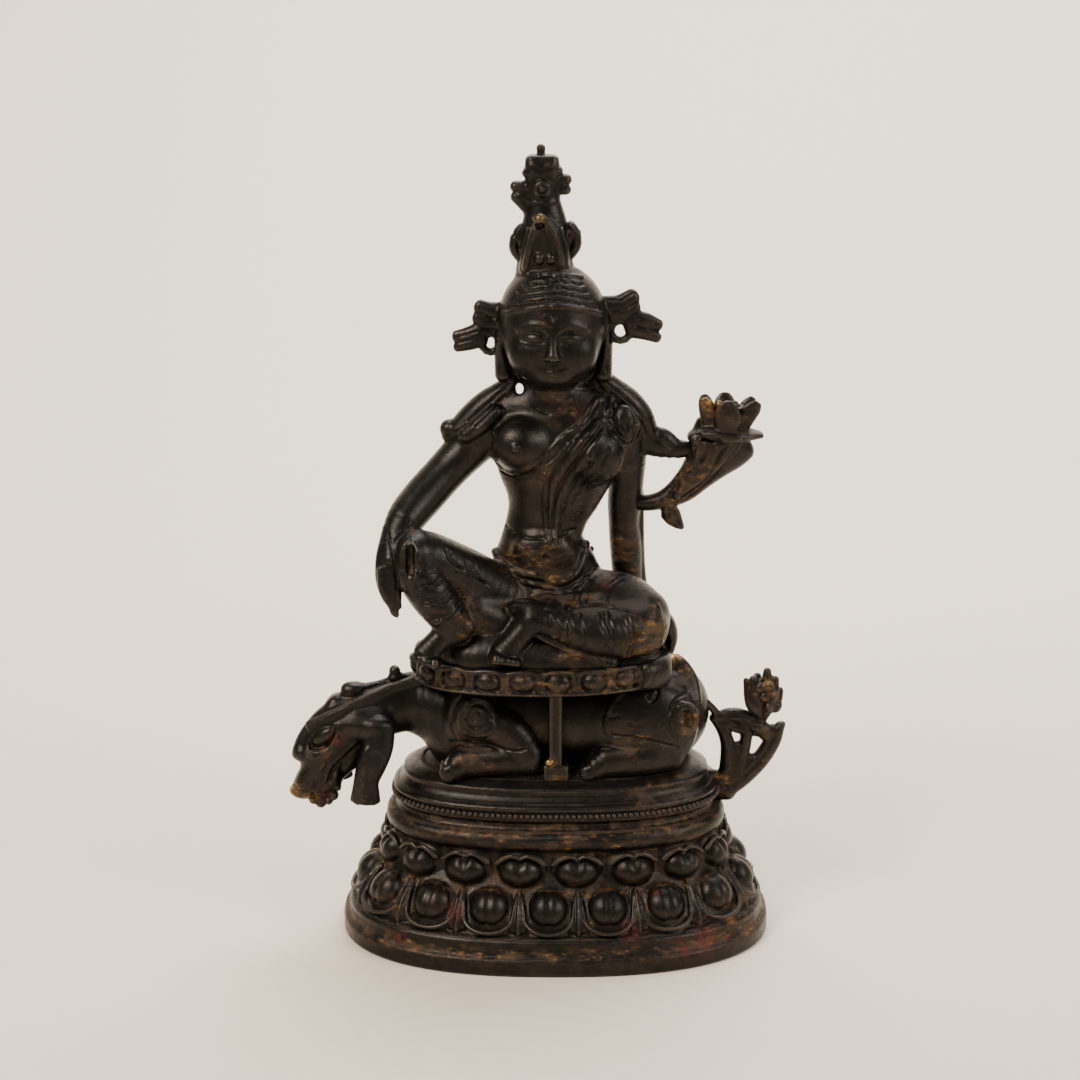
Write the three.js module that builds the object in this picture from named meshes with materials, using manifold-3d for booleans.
// A small cast bronze of a bodhisattva seated at ease on an elephant: three castings stacked on
// each other. The oval lotus plinth carries the lying elephant, and the elephant's back carries a
// lotus seat cast in one with the figure. Millimetres, +Z up, the figure looks along -Y, and the
// origin is the centre of the plinth's underside.
import * as THREE from "three";
import { mergeVertices } from "three/addons/utils/BufferGeometryUtils.js";
import Module from "manifold-3d";

const wasm = await Module();
wasm.setup();

// Plinth: an oval foot with a ledge, a skirt of hanging petals, a cup of standing petals, a round
// ridge and a moulded top tier above a narrow waist.
const PLINTH_LENGTH = 148;
const PLINTH_DEPTH = 96;
const OVAL_SQUARENESS = 2.4;
const FOOT_HEIGHT = 6.4;
const LEDGE_INSET = 2.2;
const LEDGE_HEIGHT = 6.2;
const SKIRT_FOOT_INSET = 5.2;
const SKIRT_HEIGHT = 16.8;
const SKIRT_INSET = 11.8;
const CUP_HEIGHT = 8.4;
const CUP_FLARE = 2.4;
const RIDGE_HEIGHT = 6.8;
const RIDGE_INSET = 15.6;
const WAIST_INSET = 19.6;
const TIER_HEIGHT = 15.9;
const TIER_INSET = 18;
const TIER_TOP_INSET = 9;
const PLINTH_PETALS = 17;
const PETAL_PHASE = -0.13;
const PETALS_SHARED_OUT_AT = 10;
const PETAL_REACH = 8;
const PETAL_RISE = 4;

// Elephant: its height runs from its soles, which are let into the plinth's top by the sink, to the
// underside of the seat on its back.
const ELEPHANT_HEIGHT = 35.2;
const ELEPHANT_SINK = 2;
const MODELLED_ELEPHANT_HEIGHT = 35.2;

// Lotus spray that stands on the plinth's end behind the elephant.
const SPRAY_HEIGHT = 48;
const MODELLED_SPRAY_HEIGHT = 48;
const SPRAY_CLEARANCE = 2.2;
const SPRAY_THICKNESS = 5;

// Seat: an oval plate with a row of petals round its edge, on the elephant's back.
const SEAT_LENGTH = 86;
const SEAT_DEPTH = 52;
const SEAT_THICKNESS = 8.8;
const SEAT_OFFSET_X = -6;
const SEAT_OFFSET_Y = -7;
const SEAT_PETALS = 19;
const SEAT_PETAL_PHASE = 0.57;
const SEAT_PETAL_RISE = 1.6;
const SEAT_CLEARANCE = 0.4;
const POST_INSET = 12.5;
const POST_WIDTH = 4;
const POST_FOOT_WIDTH = 8;
const POST_FOOT_HEIGHT = 5.5;

// Figure: its height runs from the seat's top to the tip of the crown.
const FIGURE_HEIGHT = 167.5;
const MODELLED_FIGURE_HEIGHT = 167.5;

// Heights that follow from the sizes above.
const LEDGE_TOP = FOOT_HEIGHT + LEDGE_HEIGHT;
const SKIRT_TOP = LEDGE_TOP + SKIRT_HEIGHT;
const CUP_TOP = SKIRT_TOP + CUP_HEIGHT;
const RIDGE_TOP = CUP_TOP + RIDGE_HEIGHT;
const PLINTH_HEIGHT = RIDGE_TOP + TIER_HEIGHT;
const SOLE_HEIGHT = PLINTH_HEIGHT - ELEPHANT_SINK;
const SEAT_BOTTOM = SOLE_HEIGHT + ELEPHANT_HEIGHT;
const SEAT_TOP = SEAT_BOTTOM + SEAT_THICKNESS;

// How far the tops of the skirt and the cup stand in from the foot's oval.
const SKIRT_TOP_INSET = SKIRT_FOOT_INSET + SKIRT_INSET;
const CUP_TOP_INSET = SKIRT_TOP_INSET - CUP_FLARE;

const X_AXIS = new THREE.Vector3(1, 0, 0);
const Y_AXIS = new THREE.Vector3(0, 1, 0);
const Z_AXIS = new THREE.Vector3(0, 0, 1);
const PLAIN_OVAL_SIDES = 48;

const bronze = new THREE.MeshStandardMaterial({ color: 0x33281f, roughness: 0.42, metalness: 0.75 });

// A geometry's triangles with shared corners, as a body that can be joined and cut.
function bodyOf(geometry) {
  const bare = new THREE.BufferGeometry();
  bare.setAttribute("position", geometry.getAttribute("position"));
  bare.setIndex(geometry.index);
  const merged = mergeVertices(bare, 1e-4);
  const vertProperties = new Float32Array(merged.attributes.position.array);
  const triVerts = new Uint32Array(merged.index.array);
  return new wasm.Manifold(new wasm.Mesh({ numProp: 3, vertProperties, triVerts }));
}

function joined(geometries) {
  return geometries.map(bodyOf).reduce((whole, body) => whole.add(body));
}

function meshOf(body, name) {
  const { vertProperties, triVerts } = body.getMesh();
  const geometry = new THREE.BufferGeometry();
  geometry.setAttribute("position", new THREE.BufferAttribute(new Float32Array(vertProperties), 3));
  geometry.setIndex(new THREE.BufferAttribute(new Uint32Array(triVerts), 1));
  geometry.computeVertexNormals();
  const mesh = new THREE.Mesh(geometry, bronze);
  mesh.name = name;
  return mesh;
}

// A closed skin over rings of equal size, with a pole point at each end. Each four-sided face is
// split along its shorter diagonal, so that both halves of a petal match.
function skin(rings, firstPole, lastPole) {
  const sides = rings[0].length;
  const positions = [firstPole, ...rings.flat(), lastPole].flatMap((p) => [p.x, p.y, p.z]);
  const index = [];
  const corner = (ring, side) => 1 + ring * sides + (side % sides);
  const last = 1 + rings.length * sides;
  for (let side = 0; side < sides; side++) {
    index.push(0, corner(0, side + 1), corner(0, side));
    index.push(last, corner(rings.length - 1, side), corner(rings.length - 1, side + 1));
    for (let ring = 0; ring + 1 < rings.length; ring++) {
      const [a, b] = [corner(ring, side), corner(ring, side + 1)];
      const [c, d] = [corner(ring + 1, side + 1), corner(ring + 1, side)];
      const [pa, pb] = [rings[ring][side], rings[ring][(side + 1) % sides]];
      const [pc, pd] = [rings[ring + 1][(side + 1) % sides], rings[ring + 1][side]];
      const rising = pa.distanceTo(pc) < pb.distanceTo(pd) + 1e-6;
      index.push(...(rising ? [a, b, c, a, c, d] : [a, b, d, b, c, d]));
    }
  }
  const geometry = new THREE.BufferGeometry();
  geometry.setAttribute("position", new THREE.Float32BufferAttribute(positions, 3));
  geometry.setIndex(index);
  return geometry;
}

// How many sides something round gets, by its radius in millimetres.
function sidesFor(radius) {
  return THREE.MathUtils.clamp(Math.round(3 + 0.4 * radius), 4, 9);
}

// A limb through stations [x, y, z, half-width along `side`, half-width across it]. A thick limb has
// domed ends and a thin one comes to a blunt point.
function limb(stations, { side = X_AXIS, dome = 0.8 } = {}) {
  const thickest = Math.max(...stations.flatMap((s) => [s[3], s[4]]));
  const sides = sidesFor(thickest);
  const path = new THREE.CatmullRomCurve3(stations.map((s) => new THREE.Vector3(s[0], s[1], s[2])));
  const girth = new THREE.CatmullRomCurve3(stations.map((s) => new THREE.Vector3(s[3], s[4], 0)));
  const ringAt = (u, along, share) => {
    const centre = path.getPoint(u);
    const tangent = path.getTangent(u);
    const across = side.clone().addScaledVector(tangent, -side.dot(tangent)).normalize();
    const through = new THREE.Vector3().crossVectors(tangent, across);
    const half = girth.getPoint(u);
    centre.addScaledVector(tangent, along * dome * Math.min(half.x, half.y));
    return Array.from({ length: sides }, (_, k) => {
      const angle = (2 * Math.PI * k) / sides;
      return centre
        .clone()
        .addScaledVector(across, share * half.x * Math.cos(angle))
        .addScaledVector(through, share * half.y * Math.sin(angle));
    });
  };
  const rings = stations.map((_, k) => ringAt(k / (stations.length - 1), 0, 1));
  const domed = thickest > 4.5 && dome > 0.4;
  if (domed) rings.unshift(ringAt(0, -0.7, 0.7));
  if (domed) rings.push(ringAt(1, 0.7, 0.7));
  return skin(rings, ringAt(0, -1, 0)[0], ringAt(1, 1, 0)[0]);
}

// A swelling: an ellipsoid at a place, with its half-sizes and an optional turn in degrees.
function swelling(place, half, { turn = [0, 0, 0] } = {}) {
  const around = sidesFor(Math.max(...half));
  const geometry = new THREE.SphereGeometry(1, around, Math.max(3, Math.round(around * 0.55)));
  geometry.rotateX(Math.PI / 2);
  geometry.scale(...half);
  const [x, y, z] = turn.map(THREE.MathUtils.degToRad);
  geometry.applyMatrix4(new THREE.Matrix4().makeRotationFromEuler(new THREE.Euler(x, y, z)));
  return geometry.translate(...place);
}

function moved(geometries, scale, place) {
  return geometries.map((g) => g.scale(scale, scale, scale).translate(...place));
}

// The oval of the plinth and the seat: a softly squared ellipse, by the angle from its centre.
function ovalPoint(angle, halfLength, halfDepth) {
  const c = Math.abs(Math.cos(angle)) / halfLength;
  const s = Math.abs(Math.sin(angle)) / halfDepth;
  const reach = (c ** OVAL_SQUARENESS + s ** OVAL_SQUARENESS) ** (-1 / OVAL_SQUARENESS);
  return new THREE.Vector2(reach * Math.cos(angle), reach * Math.sin(angle));
}

// A body of stacked plain ovals: each entry of the profile is [inset from the largest oval, height].
function ovalStack(profile, halfLength, halfDepth) {
  return petalledStack(profile, halfLength, halfDepth, PLAIN_OVAL_SIDES, { columns: 1 });
}

// The way straight in from a point on an oval's edge.
function inwardFrom(point, halfLength, halfDepth) {
  const slope = (value, half) =>
    (-Math.sign(value) * Math.abs(value / half) ** (OVAL_SQUARENESS - 1)) / half;
  return new THREE.Vector2(slope(point.x, halfLength), slope(point.y, halfDepth)).normalize();
}

// Directions from the centre that share the oval's edge out into equal lengths. The first one is
// the front's, moved on by a share of one length.
function evenAngles(count, halfLength, halfDepth, shift) {
  const fine = 720;
  const angleAt = (k) => (2 * Math.PI * k) / fine - Math.PI / 2;
  const run = [0];
  for (let k = 1; k <= fine; k++) {
    const [from, to] = [k - 1, k].map((n) => ovalPoint(angleAt(n), halfLength, halfDepth));
    run.push(run[k - 1] + from.distanceTo(to));
  }
  return Array.from({ length: count }, (_, place) => {
    const target = (((place + shift + count) % count) / count) * run[fine];
    const k = Math.min(run.findLastIndex((length) => length <= target), fine - 1);
    return angleAt(k + (target - run[k]) / (run[k + 1] - run[k]));
  });
}

// A body of stacked ovals with rows of petals. Each entry of the profile gives a level's inset from
// the largest oval and its height, then how far the petals stand out there, which row they're in
// (0 or 0.5, half a petal apart) and how far their edges lie above their middle lines. The petals
// share out the oval that stands in by `sharedOutAt`, and run straight in and out from there.
function petalledStack(profile, halfLength, halfDepth, petals, options = {}) {
  const { columns = 4, phase = 0, sharedOutAt = 0 } = options;
  const shared = [halfLength - sharedOutAt, halfDepth - sharedOutAt];
  const places = evenAngles(petals * columns, ...shared, phase * columns).map((angle) => {
    const edge = ovalPoint(angle, ...shared);
    return { edge, inward: inwardFrom(edge, ...shared) };
  });
  const rings = profile.map(([inset, z, rise = 0, row = 0, edgeLift = 0]) =>
    places.map(({ edge, inward }, k) => {
      const fullness = Math.abs(Math.cos(Math.PI * (k / columns - row)));
      const stand = inset - rise * fullness;
      const reach = Math.min(stand - sharedOutAt, PETAL_REACH);
      const direction = edge.clone().addScaledVector(inward, reach).angle();
      const p = ovalPoint(direction, halfLength - stand, halfDepth - stand);
      return new THREE.Vector3(p.x, p.y, z + edgeLift * (1 - fullness));
    }),
  );
  const [bottom, top] = [profile[0][1], profile.at(-1)[1]];
  return skin(rings, new THREE.Vector3(0, 0, bottom), new THREE.Vector3(0, 0, top));
}

function plinthBody() {
  const skirtAt = (share) => SKIRT_FOOT_INSET + SKIRT_INSET * share;
  const skirtZ = (share) => LEDGE_TOP + SKIRT_HEIGHT * share;
  const cupAt = (share) => SKIRT_TOP_INSET - CUP_FLARE * share;
  const cupZ = (share) => SKIRT_TOP + CUP_HEIGHT * share;
  return petalledStack(
    [
      [0, 0],
      [0, FOOT_HEIGHT - 1],
      [LEDGE_INSET, FOOT_HEIGHT + 1],
      [LEDGE_INSET, LEDGE_TOP - 1.2],
      [SKIRT_FOOT_INSET, LEDGE_TOP],
      [skirtAt(0.06), skirtZ(0.06), PETAL_RISE * 0.4, 0, 2.4],
      [skirtAt(0.22), skirtZ(0.22), PETAL_RISE * 0.8, 0, 1],
      [skirtAt(0.42), skirtZ(0.4), PETAL_RISE * 1.25],
      [skirtAt(0.64), skirtZ(0.64), PETAL_RISE * 1.2],
      [SKIRT_TOP_INSET - 0.6, SKIRT_TOP - 1.4],
      [cupAt(0.2), cupZ(0.14), PETAL_RISE, 0.5],
      [cupAt(0.8), cupZ(0.75), PETAL_RISE * 0.8, 0.5, -1],
      [cupAt(1), cupZ(0.97), PETAL_RISE * 0.3, 0.5, -1.6],
      [CUP_TOP_INSET + 2.4, CUP_TOP + 0.4],
      [RIDGE_INSET, CUP_TOP + RIDGE_HEIGHT * 0.3],
      [RIDGE_INSET, CUP_TOP + RIDGE_HEIGHT * 0.7],
      [WAIST_INSET, RIDGE_TOP + 1],
      [TIER_INSET + 0.4, RIDGE_TOP + TIER_HEIGHT * 0.2],
      [TIER_INSET, RIDGE_TOP + TIER_HEIGHT * 0.42],
      [TIER_INSET + TIER_TOP_INSET * 0.36, PLINTH_HEIGHT - TIER_HEIGHT * 0.26],
      [TIER_INSET + TIER_TOP_INSET * 0.66, PLINTH_HEIGHT - TIER_HEIGHT * 0.06],
      [TIER_INSET + TIER_TOP_INSET, PLINTH_HEIGHT],
    ],
    PLINTH_LENGTH / 2,
    PLINTH_DEPTH / 2,
    PLINTH_PETALS,
    { phase: PETAL_PHASE, sharedOutAt: PETALS_SHARED_OUT_AT },
  );
}

// The elephant's pose is given in millimetres at its modelled height, from its soles.
const ELEPHANT_SCALE = ELEPHANT_HEIGHT / MODELLED_ELEPHANT_HEIGHT;
const RUMP_END = 50;
const HEAD = { place: [-72, -10, 16.5], pitch: 54, yaw: 26 };

// The frame of the lowered head: forward to the snout, out through its near side, and up.
function headFrame() {
  const [pitch, yaw] = [HEAD.pitch, HEAD.yaw].map(THREE.MathUtils.degToRad);
  const level = new THREE.Vector3(-Math.cos(yaw), -Math.sin(yaw), 0);
  const forward = level.multiplyScalar(Math.cos(pitch)).setZ(-Math.sin(pitch));
  const near = new THREE.Vector3(Math.sin(yaw), -Math.cos(yaw), 0);
  const up = new THREE.Vector3().crossVectors(forward, near);
  return new THREE.Matrix4().makeBasis(forward, near, up).setPosition(...HEAD.place);
}

// What lies on one side of the elephant: shoulder, folded foreleg, haunch and folded hind leg. Only
// the near paws have their toes parted.
function elephantSide(sign) {
  const y = (depth) => sign * depth;
  const toes = (x) => [-3.4, 0, 3.4].map((shift) => swelling([x, y(18 + shift), 3.8], [3.4, 2.1, 3.2]));
  const along = { side: Y_AXIS };
  return [
    swelling([-26, y(13), 21.4], [11, 7.5, 12.2]),
    limb([[-25, y(15), 21, 7.2, 5], [-15.4, y(17.8), 16, 6.6, 5], [-8.6, y(18.5), 8.4, 5.4, 5]], {
      side: Z_AXIS,
    }),
    limb([[-8.6, y(18), 6.8, 5, 5.6], [-20, y(18), 6.8, 4.8, 5.4], [-33, y(18), 5.6, 4.6, 5]], along),
    swelling([30, y(12.5), 17.2], [17.8, 8.5, 17.2]),
    limb([[39.6, y(13.4), 8.4, 5, 6.5], [29, y(17), 7.4, 4.7, 6.1], [15, y(18), 5.8, 4.5, 5.2]], along),
    ...(sign < 0 ? [...toes(-36.6), ...toes(10.6)] : []),
  ];
}

function elephantHead() {
  const frame = headFrame();
  const inHead = [
    swelling([0, 0, 0], [12, 10.5, 10.5]),
    swelling([9.5, 0, 5.5], [7.5, 8, 5.6]),
    limb([[6, 0, 0, 7.4, 7], [15, 0, -1.5, 6.2, 5.4], [26.4, 0, -0.5, 6.2, 4]], {
      side: Y_AXIS,
      dome: 0.3,
    }),
    limb([[2, 0, -7, 6, 4], [13, 0, -9, 4.6, 3], [22.5, 0, -9.5, 4.2, 2.2]], { side: Y_AXIS }),
    ...[-1, 1].map((side) => swelling([8, side * 7.4, 2.6], [4.6, 2.4, 3.4])),
    ...[-1, 1].map((side) => swelling([-1, side * 7.6, -0.5], [6.5, 4.2, 6.5])),
  ].map((g) => g.applyMatrix4(frame));
  // The near ear hangs straight down. The far one is its mirror image across the head.
  const nearEar = limb(
    [
      [-60, -15.5, 21, 5, 4.2],
      [-59.8, -19.6, 13.4, 5.6, 3.5],
      [-62.2, -21.2, 6.4, 5, 2.9],
      [-63.8, -21, 0, 4.2, 2.5],
      [-64.4, -20.4, -7, 5.2, 2.2],
    ],
    { side: X_AXIS, dome: 0.5 },
  );
  const mirror = frame
    .clone()
    .multiply(new THREE.Matrix4().makeScale(1, -1, 1))
    .multiply(frame.clone().invert());
  const farEar = nearEar.clone().applyMatrix4(mirror);
  farEar.setIndex([...farEar.index.array].reverse());
  return [...inHead, nearEar, farEar];
}

function elephantBody() {
  const trunkOfBody = limb(
    [
      [-40, 0, 20.5, 12, 12.5],
      [-28, 0, 18, 16, 17],
      [-4, 0, 17.4, 16.5, 17.6],
      [20, 0, 17.6, 17, 17.6],
      [35, 0, 19, 17, 18.6],
      [42, 0, 18.5, 11.5, 14],
    ],
    { side: Y_AXIS, dome: 0.55 },
  );
  const neck = limb(
    [[-38, 0, 21, 12, 13], [-50, -2, 23.4, 9.5, 9.6], [-61, -6, 22, 9.5, 9.4], [-70, -9, 18, 9, 9]],
    { side: Y_AXIS },
  );
  const chest = swelling([-33.6, 0, 11], [11, 13.5, 13]);
  const knobs = [
    swelling([-54.8, -4, 33.6], [2.3, 2.3, 2.6]),
    swelling([-68.4, -8, 28.6], [4.2, 3.2, 3.2]),
    swelling([-76.5, -10.5, 23.4], [3.6, 3.2, 3.2]),
  ];
  const tail = limb([[36, 0, 37, 4, 2.2], [44, -4, 31, 4, 2.4], [46.6, -10, 23, 3, 2.2]]);
  const tailCurl = new THREE.TorusGeometry(4.4, 1.4, 5, 10);
  tailCurl.rotateX(Math.PI / 2).rotateZ(0.5).translate(44.6, -16.6, 23.4);
  const tailBoss = swelling([44.6, -16, 23.4], [2.8, 2.2, 2.8]);
  const parts = [trunkOfBody, neck, chest, ...knobs, tail, tailCurl, tailBoss];
  const whole = [...parts, ...elephantSide(-1), ...elephantSide(1), ...elephantHead()];
  const elephant = joined(moved(whole, ELEPHANT_SCALE, [0, 0, SOLE_HEIGHT]));
  return elephant.subtract(plinthCutter()).subtract(seatCutter());
}

// What the plinth takes from the elephant: the top face and below, within the plinth's own oval,
// so that the head can hang past the end.
function plinthCutter() {
  const [halfLength, halfDepth] = [PLINTH_LENGTH / 2, PLINTH_DEPTH / 2];
  const inset = TIER_INSET - 2;
  return bodyOf(ovalStack([[inset, 0], [inset, PLINTH_HEIGHT]], halfLength, halfDepth));
}

// The space of the seat and a little more, which the haunches stand clear of.
function seatCutter() {
  const [halfLength, halfDepth] = [SEAT_LENGTH / 2, SEAT_DEPTH / 2];
  const reach = -SEAT_CLEARANCE;
  const above = SEAT_TOP + SEAT_THICKNESS * 3;
  const space = ovalStack([[reach, SEAT_BOTTOM], [reach, above]], halfLength, halfDepth);
  return bodyOf(space.translate(SEAT_OFFSET_X, SEAT_OFFSET_Y, 0));
}

// Lotus spray: three stems that fan out of the plinth's end, a pad, a curled leaf and a bud.
function sprayParts() {
  const half = SPRAY_THICKNESS / 2;
  const stem = (line) =>
    limb(line.map(([x, z, depth, width]) => [x, 0, z, half * depth, width]), { side: Y_AXIS });
  const budPetals = [-32, 0, 32].map((turn) =>
    swelling([17.6 + turn * 0.1, 0, 37.5 - Math.abs(turn) * 0.06], [3.4, half * 1.2, 7.8], {
      turn: [0, turn * 0.75, 0],
    }),
  );
  const stems = [
    stem([[0, 0, 1, 2.4], [6.6, 13, 1, 2.3], [5.4, 25, 1, 2], [0.8, 34, 0.8, 1.6]]),
    stem([[1, 0, 1, 2.6], [9, 11, 1, 2.2], [10.4, 21, 0.9, 1.9], [11, 28, 1, 2.6]]),
    stem([[1, -1, 1, 2.8], [11, 7, 1, 2.8], [19, 17, 1, 2.6], [25, 28, 0.7, 1.5]]),
    stem([[2, 30.5, 0.8, 1.6], [9, 32, 1, 2.6], [16, 29, 1, 3.2], [21, 25, 1, 2]]),
  ];
  return [...stems, ...budPetals];
}

function plinthWithSpray() {
  const scale = SPRAY_HEIGHT / MODELLED_SPRAY_HEIGHT;
  const rump = RUMP_END * ELEPHANT_SCALE + SPRAY_CLEARANCE;
  const rootHeight = RIDGE_TOP + 0.1;
  const tierEnd = PLINTH_LENGTH / 2 - TIER_INSET;
  const spray = moved(sprayParts(), scale, [rump, 0, rootHeight]);
  const root = limb(
    [
      [tierEnd - 4, 0, rootHeight + 1, SPRAY_THICKNESS / 2, 3],
      [(tierEnd + rump) / 2, 0, rootHeight, SPRAY_THICKNESS / 2, 3],
      [rump + 2, 0, rootHeight, SPRAY_THICKNESS / 2, 3],
    ],
    { side: Y_AXIS },
  );
  return joined([plinthBody(), root, ...spray]);
}

function seatPlate() {
  const rise = SEAT_PETAL_RISE;
  const z = (share) => SEAT_THICKNESS * share;
  const plate = petalledStack(
    [
      [2.6, 0],
      [1.2, z(0.12)],
      [1.8, z(0.24), rise * 0.4],
      [1.2, z(0.5), rise],
      [1.4, z(0.86), rise * 0.8],
      [2.6, SEAT_THICKNESS],
    ],
    SEAT_LENGTH / 2,
    SEAT_DEPTH / 2,
    SEAT_PETALS,
    { columns: 2, phase: SEAT_PETAL_PHASE },
  );
  return plate.translate(SEAT_OFFSET_X, SEAT_OFFSET_Y, SEAT_BOTTOM);
}

// The square post under the seat's front edge, and the block it stands on.
function postParts() {
  const y = SEAT_OFFSET_Y - SEAT_DEPTH / 2 + POST_INSET;
  const length = SEAT_BOTTOM + 1 - PLINTH_HEIGHT;
  const post = new THREE.BoxGeometry(POST_WIDTH, POST_WIDTH, length);
  const block = new THREE.BoxGeometry(POST_FOOT_WIDTH, POST_WIDTH * 1.1, POST_FOOT_HEIGHT);
  return [
    post.translate(0, y, PLINTH_HEIGHT + length / 2),
    block.translate(0, y, PLINTH_HEIGHT + POST_FOOT_HEIGHT / 2),
  ];
}

// The figure's pose is given in millimetres at its modelled height, from the seat's top.
function torsoAndHead() {
  const torso = limb(
    [
      [-3, 3, 2, 23, 17],
      [-3, 2, 12, 21.5, 15.4],
      [-4.2, 2, 24, 18.4, 13],
      [-4.8, 1.6, 33, 14.4, 10.8],
      [-4, 1.2, 39, 13.2, 9.6],
      [-0.8, 0, 53, 16.4, 9.8],
      [0.4, 0.5, 66, 21.6, 12],
      [0, 1.6, 76, 22.8, 10.4],
      [-0.8, 1.2, 84, 13.4, 8],
      [-1, 0.4, 88, 8.8, 7.8],
      [-1.2, -1.6, 97, 9.4, 9],
    ],
    { dome: 0.5 },
  );
  const shoulders = [-1, 1].map((s) =>
    limb([[s * 8 - 0.6, 2, 82.6, 6, 5.6], [s * 17 - 0.4, 2.6, 79, 6.4, 6.6], [s * 24.4, 3, 74.6, 7, 7]], {
      side: Y_AXIS,
    }),
  );
  const breasts = [[-12, 69.6], [12.6, 67.6]].map(([x, z]) => swelling([x, -7.6, z], [9, 7.2, 8.6]));
  const head = [
    swelling([-1.3, -1.4, 112], [17.4, 17, 17.2]),
    swelling([-1.3, -5.8, 105.8], [16.4, 13.2, 14]),
    swelling([-1.3, -7.6, 99], [14, 11, 9.6]),
    swelling([-0.9, 4, 97], [16.6, 9, 12]),
  ];
  const nose = limb([
    [-1.3, -18.2, 109.5, 1.2, 1.2],
    [-1.3, -20.2, 102, 2.2, 1.8],
  ]);
  const mouth = swelling([-1.3, -17.2, 97.2], [4.4, 1.6, 1.5]);
  const eyes = [-1, 1].map((s) =>
    swelling([-1.3 + s * 6.4, -16.4, 107], [4.4, 2.2, 2], { turn: [0, 0, s * 20] }),
  );
  const ears = [-1, 1].map((s) =>
    limb([
      [-1 + s * 16.4, -1.6, 111, 2, 3.6],
      [-1 + s * 17.3, -1.2, 102, 2.1, 3.4],
      [-1 + s * 16.5, -1, 93, 2.8, 3.4],
    ]),
  );
  return [torso, ...shoulders, ...breasts, ...head, nose, mouth, ...eyes, ...ears];
}

// A ribbon bow and rosette beside each ear: three tails that spread from a ring at the ear.
function earOrnament(side, [x, z]) {
  const tail = (points) =>
    limb(points.map(([dx, dz, w]) => [x + side * dx, 0, z + dz, 1.7, w]), { side: Y_AXIS });
  const ring = new THREE.TorusGeometry(3.4, 1.5, 4, 9);
  ring.translate(x + side * 3.6, 0, z - 3.6);
  return [
    ring,
    tail([[-4, -1, 3], [4, 4, 2.6], [8, 9.4, 2]]),
    tail([[-3, 0, 2.4], [7, 1.5, 2.6], [10, 3.4, 2.4]]),
    tail([[3, -3, 2.6], [11, -1, 2.8], [16.4, -4, 3]]),
  ];
}

function crown() {
  const x = -3.6;
  const knob = (dx, z, r) => swelling([x + dx, 0, z], [r, r * 0.9, r * 1.1]);
  return [
    limb(
      [
        [x, 0.4, 124, 10, 9],
        [x - 0.2, 0, 133, 8.4, 7.2],
        [x - 0.2, 0, 141, 7.4, 6.2],
        [x - 0.5, 0, 148, 5.7, 4.8],
        [x - 0.8, 0, 154, 6.2, 4.5],
        [x - 1, 0, 158, 5, 3.8],
      ],
      { dome: 0.3 },
    ),
    new THREE.BoxGeometry(10.6, 7.8, 7.2).translate(x - 1, 0, 160),
    ...[-1, 1].map((s) =>
      limb([
        [x + s * 5.6, -6, 127.6, 1.4, 1.6],
        [x + s * 4.4, -6.8, 135, 1.4, 1.7],
        [x - 1, -7.6, 144, 2.2, 2],
      ]),
    ),
    knob(-9.6, 136.6, 2.6),
    knob(-8.6, 131.5, 2.4),
    knob(9.6, 138.6, 2.7),
    knob(9, 133, 2.4),
    knob(-7.4, 152.6, 2.3),
    knob(6.6, 154.6, 2.3),
    swelling([x - 1, -4.4, 153.4], [2.9, 1.6, 2.9]),
    limb([[x - 1.2, 0, 161, 1.8, 1.8], [x - 1.3, 0, 166, 1.8, 1.8]]),
  ];
}

function rightArm() {
  const finger = (shift, reach) =>
    limb([
      [-54.8 + shift, -26.6 + shift * 0.4, 30, 1.9, 1.5],
      [-54.4 + shift * 0.9, -28.2 + shift * 0.4, 25, 1.8, 1.4],
      [-52.8 + shift * 0.6, -27.8, 18.2 + reach, 1.4, 1.3],
    ]);
  return [
    limb(
      [
        [-23.5, 3, 72.5, 9, 8.4],
        [-36.5, -1.6, 59.6, 7, 6.8],
        [-44.5, -8, 51.8, 6.9, 6.8],
        [-50.2, -15.4, 45.4, 6.2, 6],
        [-53.4, -21.6, 37.6, 4.4, 4.4],
        [-54.8, -26, 30, 4.4, 2.8],
      ],
      { side: Y_AXIS },
    ),
    finger(-2.2, 2),
    finger(0, 0),
    finger(2.2, 1.4),
    limb([
      [-52.2, -24, 36, 1.8, 1.8],
      [-50.4, -28.4, 31.4, 1.6, 1.6],
      [-49.4, -29.2, 27.4, 1.3, 1.3],
    ]),
  ];
}

function leftArm() {
  return [
    limb([
      [20.5, 3.4, 72.5, 8.6, 8.4],
      [23.5, 4.8, 62, 6.5, 6.8],
      [23.2, 6.4, 48, 5.7, 5.9],
      [23, 7.6, 38, 5.2, 5.4],
      [24.2, 9, 20, 5, 5],
      [27, 10.4, 3.4, 5.4, 4.2],
    ]),
    limb([
      [28.4, 8.6, 50, 1.3, 1.6],
      [31.2, 10.8, 3, 1.8, 2],
    ]),
  ];
}

// Each foot is a wedge with a row of five toes.
function foot(heel, ball, toesFrom, toeStep) {
  const toes = Array.from({ length: 5 }, (_, k) => {
    const size = k === 0 ? 2.2 : 1.75;
    const place = toesFrom.map((value, axis) => value + toeStep[axis] * k);
    return swelling(place, [size, size * 1.3, size]);
  });
  return [limb([heel, ball], { side: X_AXIS }), ...toes];
}

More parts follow.
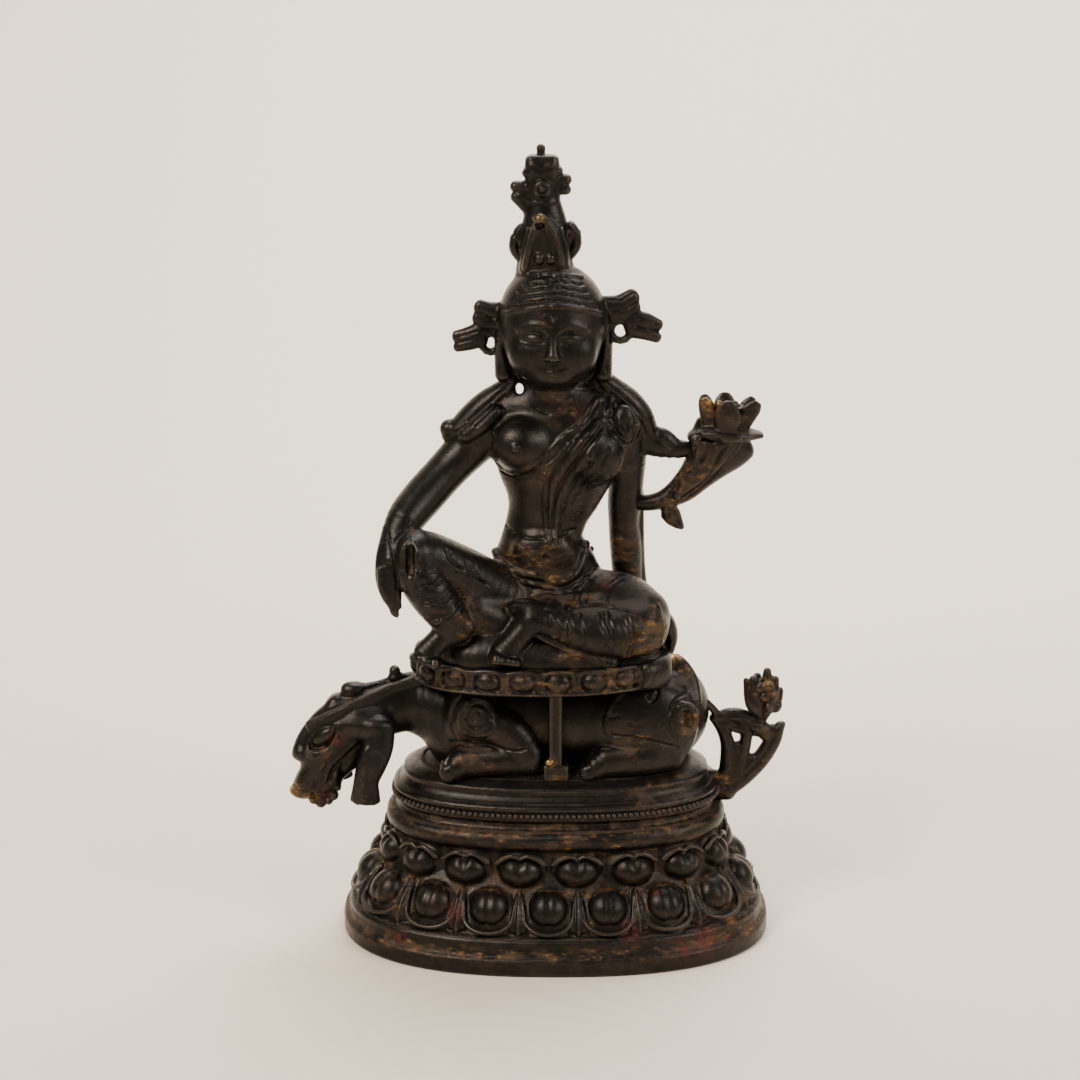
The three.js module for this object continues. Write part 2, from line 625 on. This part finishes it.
function legs() {
  const across = { side: Y_AXIS };
  const raised = [
    limb([[-14, -2, 12, 12.5, 12.5], [-32, -13.6, 27, 9.9, 9.9], [-45.2, -20.8, 36, 8.6, 8.6]], across),
    limb([[-12, -11, 9, 9, 8.6], [-20, -14, 11, 8.6, 8.6], [-27, -16, 15, 8, 8]], across),
    limb([
      [-45.8, -22.4, 36.6, 7.8, 8],
      [-43, -23.8, 28, 8.2, 8],
      [-35.6, -24.6, 16, 7.1, 7],
      [-32, -24.4, 9, 5.6, 6],
    ]),
    ...foot([-31.8, -22.8, 8, 5.6, 5.6], [-40.6, -28, 3.8, 5.8, 3.4], [-37.4, -32, 2.2], [-2.2, 0.9, 0.3]),
  ];
  const folded = [
    limb([[10, 0, 12, 13, 13], [21, -6, 13, 12.6, 12.2], [29.4, -13, 11.6, 9.6, 10]], across),
    limb(
      [
        [27.6, -17.6, 10, 9.4, 9.4],
        [18, -22.4, 9.4, 8.2, 8.4],
        [8, -24.2, 11, 7, 6.8],
        [-1, -24.2, 13.4, 5.4, 5.2],
        [-8, -24, 15.2, 4.6, 4.6],
      ],
      across,
    ),
    ...foot([-8, -24, 14.6, 4.6, 4.6], [-17, -27, 4.8, 5.6, 3.5], [-14, -30.4, 2.4], [-2.2, 0.55, 0.5]),
  ];
  return [...raised, ...folded];
}

// Cloth: the belt under the belly, the sash's long fall, the folds under the shin and the tail of
// cloth that hangs over the seat.
function cloth() {
  const roll = (stations, side) => limb(stations, { side });
  return [
    roll(
      [
        [-20.4, -6, 31, 1.4, 1.4],
        [-14, -12, 27, 1.5, 1.5],
        [-2, -13, 24, 1.6, 1.6],
        [6.8, -10, 26.6, 1.5, 1.5],
        [10, -6, 34, 1.3, 1.3],
      ],
      Z_AXIS,
    ),
    roll(
      [
        [16, -7, 78, 4.4, 1.4],
        [8.6, -13, 70, 4.4, 1.6],
        [0, -8.6, 52, 3.4, 1.6],
        [-1.4, -8.6, 38, 3, 1.6],
      ],
      X_AXIS,
    ),
    roll([[-3, -16, 17, 9, 3.4], [-12, -16, 12, 9, 3.4], [-18, -17, 5, 8, 3]], Y_AXIS),
    roll([[-6, -22, 5, 7, 5], [6, -21, 3, 8, 4], [20, -18, 2, 8, 3]], Y_AXIS),
    roll([[32, -6, 13, 5, 3.6], [37.4, -5.4, 7, 4.2, 3], [38.6, -5, 0, 3, 2.4]], Y_AXIS),
  ];
}

// Scarves: a broad band over each shoulder. The far end of the left one reaches the lotus.
function scarves() {
  const right = [
    [-15, 1, 90.4, 3.8, 2.6],
    [-17.6, 1.6, 86.2, 4.4, 3.6],
    [-25.6, 2.4, 79.4, 5.6, 4.6],
    [-32.4, 2, 73, 5.2, 3.8],
  ];
  const left = [
    [15, 1, 91, 3.8, 2.8],
    [18.6, 1.6, 87, 4.4, 3.8],
    [26, 2.6, 80, 5.2, 4.4],
    [30.6, 3, 71, 4, 3.8],
  ];
  const leftEnd = [
    [29, 3, 68.8, 3, 4.2],
    [34.6, 3, 68.2, 3.2, 5],
    [39.4, 3, 66.2, 2.8, 3.6],
    [46, 3, 66, 2.4, 2.6],
  ];
  return [
    ...[right, left, leftEnd].map((band) => limb(band, { side: Y_AXIS })),
    swelling([-36, 1.6, 72.8], [3.2, 3.4, 3.5]),
    swelling([22, -5.6, 76.4], [4.2, 3.2, 6.4]),
  ];
}

// The lotus at the left shoulder: a fluted stem that opens to a leaf, with the flower on it.
function shoulderLotus() {
  const centre = [56.8, 3];
  const petals = [0, 1, 2, 3, 4].map((k) => {
    const angle = (2 * Math.PI * (k + 0.5)) / 5;
    const [c, n] = [Math.cos(angle), Math.sin(angle)];
    return swelling([centre[0] + 5.2 * c, centre[1] + 4.4 * n, 78.2], [3.8, 3.6, 6.6], {
      turn: [-16 * n, 24 * c, 0],
    });
  });
  const calyx = swelling([...centre, 76], [7.8, 7, 6]);
  const stem = limb(
    [
      [26, 6, 47, 3, 2.8],
      [33, 3.8, 47.6, 3, 3],
      [42.2, 3, 52.2, 3.8, 4.8],
      [47, 3, 57.2, 4.4, 6.2],
      [52, 3, 63.8, 5.2, 9],
      [56, 3, 69.6, 5.8, 11],
    ],
    { side: Y_AXIS, dome: 0.2 },
  );
  const leaf = limb(
    [
      [45.4, 3, 70.8, 4.6, 1.8],
      [56.4, 1.8, 71.6, 7, 2.6],
      [67.4, 3, 70.9, 4, 1.4],
    ],
    { side: Y_AXIS },
  );
  const bud = limb(
    [
      [37.2, 3, 47.4, 2.4, 2],
      [38.8, 2.8, 43, 2.6, 3.2],
      [42, 2.6, 39.6, 1.4, 1.4],
    ],
    { side: Y_AXIS },
  );
  return [stem, leaf, bud, calyx, ...petals];
}

function figureOnSeat() {
  const scale = FIGURE_HEIGHT / MODELLED_FIGURE_HEIGHT;
  const parts = [
    ...torsoAndHead(),
    ...earOrnament(-1, [-18.6, 107.5]),
    ...earOrnament(1, [17.2, 111.5]),
    ...crown(),
    ...rightArm(),
    ...leftArm(),
    ...legs(),
    ...cloth(),
    ...scarves(),
    ...shoulderLotus(),
  ];
  const figure = joined(moved(parts, scale, [0, 0, SEAT_TOP]));
  return figure.subtract(belowSeatTop()).add(joined([seatPlate(), ...postParts()]));
}

// Everything lower than the middle of the seat's plate, which the figure doesn't reach into.
function belowSeatTop() {
  const size = 4 * SEAT_LENGTH;
  const middle = SEAT_BOTTOM + SEAT_THICKNESS / 2;
  return bodyOf(indexed(new THREE.BoxGeometry(size, size, size)).translate(0, 0, middle - size / 2));
}

function indexed(geometry) {
  return geometry.index ? geometry : mergeVertices(geometry);
}

const statue = new THREE.Group();
statue.add(meshOf(plinthWithSpray(), "lotus_plinth"));
statue.add(meshOf(elephantBody(), "elephant"));
statue.add(meshOf(figureOnSeat(), "figure_on_lotus_seat"));

export default statue;
